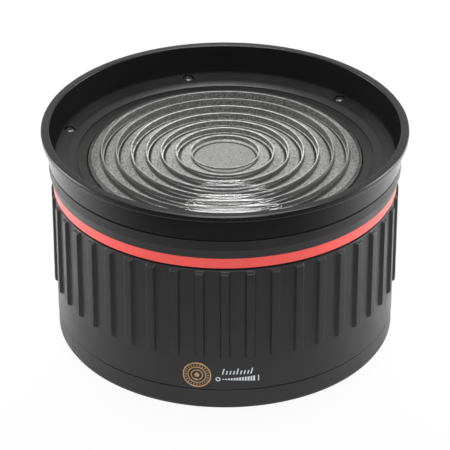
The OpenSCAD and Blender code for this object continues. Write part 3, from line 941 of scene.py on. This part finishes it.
def accent_ring():
    """Red ring under the collar."""
    outline = [(90.75, 88.4), (94.0, 88.4, 0.3), (94.5, 94.75, 0.3), (90.75, 94.75)]
    ring = lathe("accent_ring", outline, ACCENT_RED)
    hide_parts("red_ring")
    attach(ring, "housing")


def base_ring():
    """Rear ring with a rounded foot."""
    outline = [(90.55, 0), (91.9, 0, 0.3), (BASE_R, 2.2, 1.6), (BASE_R, BASE_TOP_H, 0.35),
               (90.3, BASE_TOP_H), (90.3, 8), (88.3, 8), (88.3, 4), (90.55, 4)]
    ring = lathe("base", outline, BASE_PAINT)
    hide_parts("base_ring")
    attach(ring, "housing")


def rear_plate():
    """Rear plate with countersinks for its six screws."""
    outline = [(57, 0, 0.2), (PLATE_OUTER_R, 0, 0.2), (PLATE_OUTER_R, 4), (57, 4, 0.2)]
    ring = lathe("back_plate", outline, BASE_PAINT, segments=192)
    ring = counterbored(ring, 2.9, PLATE_SCREW_RING_R, PLATE_SCREWS, 0, -1, PLATE_SEAT_H + 0.05)
    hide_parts("rear_plate")
    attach(ring, "housing")


def plate_screws():
    crown = [(1.5, -5.4), (1.5, 0.0), (2.62, 1.1), (2.8, 1.22), (2.76, 1.3), (1.5, 1.3)]
    screws = ring_of_screws("plate_screw_heads", crown, 1.15, 0.9, PLATE_SCREW_RING_R, 0, PLATE_SCREWS,
                            PLATE_SEAT_H, flip=True)
    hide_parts("plate_screws")
    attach(screws, "housing")


# ---------------------------------------------------------------- carried-over nodes

def carried_over():
    """Looks for the CAD nodes that are shown as they are."""
    looks = {
        "bayonet_ring": MOUNT_METAL, "bayonet_screws": SCREW_OXIDE, "guide_barrel": DARK_ANODISED,
        "glide_rings": GLIDE_PLASTIC, "felt_seal": SEAL_FELT, "collar_screws": SCREW_OXIDE,
        "cam_sleeve": DARK_ANODISED, "grip_screws": SCREW_OXIDE, "carriage_tube": DARK_ANODISED,
        "tube_screws": SCREW_OXIDE, "cam_pins": PIN_STEEL, "pin_bushes": BUSH_NYLON,
        "lens_seat_ring": SILICONE, "lens_gasket": SILICONE}
    for name, material in looks.items():
        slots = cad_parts[name].data.materials
        for i in range(len(slots)):
            slots[i] = material


# ---------------------------------------------------------------- stage

CAMERA_DISTANCE = 1.4893
CAMERA_ELEVATION = math.radians(28.314)
CAMERA_PITCH = math.radians(30.408)
FOCAL_LENGTH = 219.44
RIM_PLANE_Z = BASE_Z + 122.65 * MM
FRONT_CLEAR = 0.35
FLOOR_FRONT_DARK, SKY_FRONT_DARK = -0.9, -0.75
FLOOR_WHITE = 0.95


def camera():
    data = bpy.data.cameras.new("camera")
    data.lens = FOCAL_LENGTH
    data.sensor_width = 36.0
    data.clip_start = 0.05
    eye = bpy.data.objects.new("camera", data)
    eye.location = (0, -CAMERA_DISTANCE * math.cos(CAMERA_ELEVATION),
                    RIM_PLANE_Z + CAMERA_DISTANCE * math.sin(CAMERA_ELEVATION))
    eye.rotation_euler = (math.pi / 2 - CAMERA_PITCH, 0, 0)
    bpy.context.scene.collection.objects.link(eye)
    bpy.context.scene.camera = eye


def front_fade(tree, along, dark_from):
    """0 towards the front, 1 behind: keeps the reflections in the front of the body dark."""
    return node(tree, "ShaderNodeMapRange", {
        "Value": along, "From Min": dark_from, "From Max": FRONT_CLEAR},
        interpolation_type="SMOOTHSTEP").outputs[0]


def floor():
    """White sweep. What the body mirrors of it is dark in front, as with a black flag."""
    bm = bmesh.new()
    bmesh.ops.create_circle(bm, cap_ends=True, segments=128, radius=6.0)
    bmesh.ops.translate(bm, verts=bm.verts, vec=(0, 0, -0.0002))
    m, tree, bsdf = blank_material("pale_floor")
    parts = object_parts(tree)
    reach = from_axis(tree, parts)
    along = maths(tree, "DIVIDE", parts["Y"], maths(tree, "ADD", reach, 0.001))
    fade = front_fade(tree, along, FLOOR_FRONT_DARK)
    near = node(tree, "ShaderNodeMapRange", {
        "Value": reach, "From Min": 0.12, "From Max": 0.30, "To Min": 1.0, "To Max": 0.0})
    ahead = mix_colour(tree, near.outputs[0], (0.08, 0.08, 0.08, 1), (0.50, 0.50, 0.50, 1))
    shown = mix_colour(tree, fade, ahead, (0.93, 0.93, 0.93, 1))
    tree.links.new(shown, bsdf.inputs["Base Color"])
    bsdf.inputs["Roughness"].default_value = 0.9
    bsdf.inputs["Specular IOR Level"].default_value = 0.0
    white = node(tree, "ShaderNodeEmission", {"Color": (1, 1, 1, 1), "Strength": 1.0})
    seen = node(tree, "ShaderNodeLightPath").outputs["Is Camera Ray"]
    both = node(tree, "ShaderNodeMixShader", {
        0: maths(tree, "MULTIPLY", seen, FLOOR_WHITE), 1: bsdf.outputs[0], 2: white.outputs[0]})
    from_below = node(tree, "ShaderNodeMixShader", {
        0: node(tree, "ShaderNodeNewGeometry").outputs["Backfacing"], 1: both.outputs[0],
        2: node(tree, "ShaderNodeBsdfTransparent").outputs[0]})
    tree.links.new(from_below.outputs[0], tree.nodes["Material Output"].inputs["Surface"])
    piece("floor", bm, m)


def softbox(name, place, aim, size, power, shape="RECTANGLE"):
    data = bpy.data.lights.new(name, "AREA")
    data.shape = shape
    data.size, data.size_y = size
    data.energy = power
    lamp = bpy.data.objects.new(name, data)
    lamp.location = place
    back = (Vector(place) - Vector(aim)).normalized()
    wide = Vector((0, 1, 0)).cross(back).normalized()
    lamp.rotation_euler = Matrix((wide, back.cross(wide), back)).transposed().to_euler()
    bpy.context.scene.collection.objects.link(lamp)


def studio():
    """Side boxes, narrow strips overhead for the lines of glare on the lens, and a soft front light."""
    world = bpy.data.worlds.new("studio")
    bpy.context.scene.world = world
    world.use_nodes = True
    tree = world.node_tree
    sky = tree.nodes["Background"]
    way = node(tree, "ShaderNodeSeparateXYZ", {
        0: node(tree, "ShaderNodeTexCoord").outputs["Generated"]}).outputs["Y"]
    fade = front_fade(tree, way, SKY_FRONT_DARK)
    seen = node(tree, "ShaderNodeLightPath").outputs["Is Camera Ray"]
    shown = mix_colour(tree, fade, (0.12, 0.12, 0.125, 1), (0.75, 0.75, 0.75, 1))
    shown = mix_colour(tree, seen, shown, (1, 1, 1, 1))
    tree.links.new(shown, sky.inputs["Color"])
    sky.inputs["Strength"].default_value = 1.0
    middle = (0, 0, 0.08)
    for name, x, power in (("left_softbox", -1.5, 19.0), ("right_softbox", 1.5, 21.0)):
        softbox(name, (x, 0.35, 0.35), middle, (1.0, 0.7), power)
    for name, y, z, size, power in (("top_strip", 0.0, 1.4, (1.5, 0.18), 12.0),
                                    ("second_strip", 0.22, 1.4, (0.9, 0.07), 3.2),
                                    ("third_strip", 0.42, 1.35, (0.8, 0.06), 1.2)):
        softbox(name, (0.07, y, z), middle, size, power, "ELLIPSE")
    softbox("front_fill", (0, -1.7, 1.5), middle, (1.6, 1.2), 44.0)
    view = bpy.context.scene.view_settings
    view.view_transform = "Standard"
    view.look = "None"


camera()
floor()
studio()
front_bell()
bezel()
bezel_screws()
fresnel_lens()
grip()
roundel()
scale_print()
collar()
index_tick()
accent_ring()
base_ring()
rear_plate()
plate_screws()
carried_over()
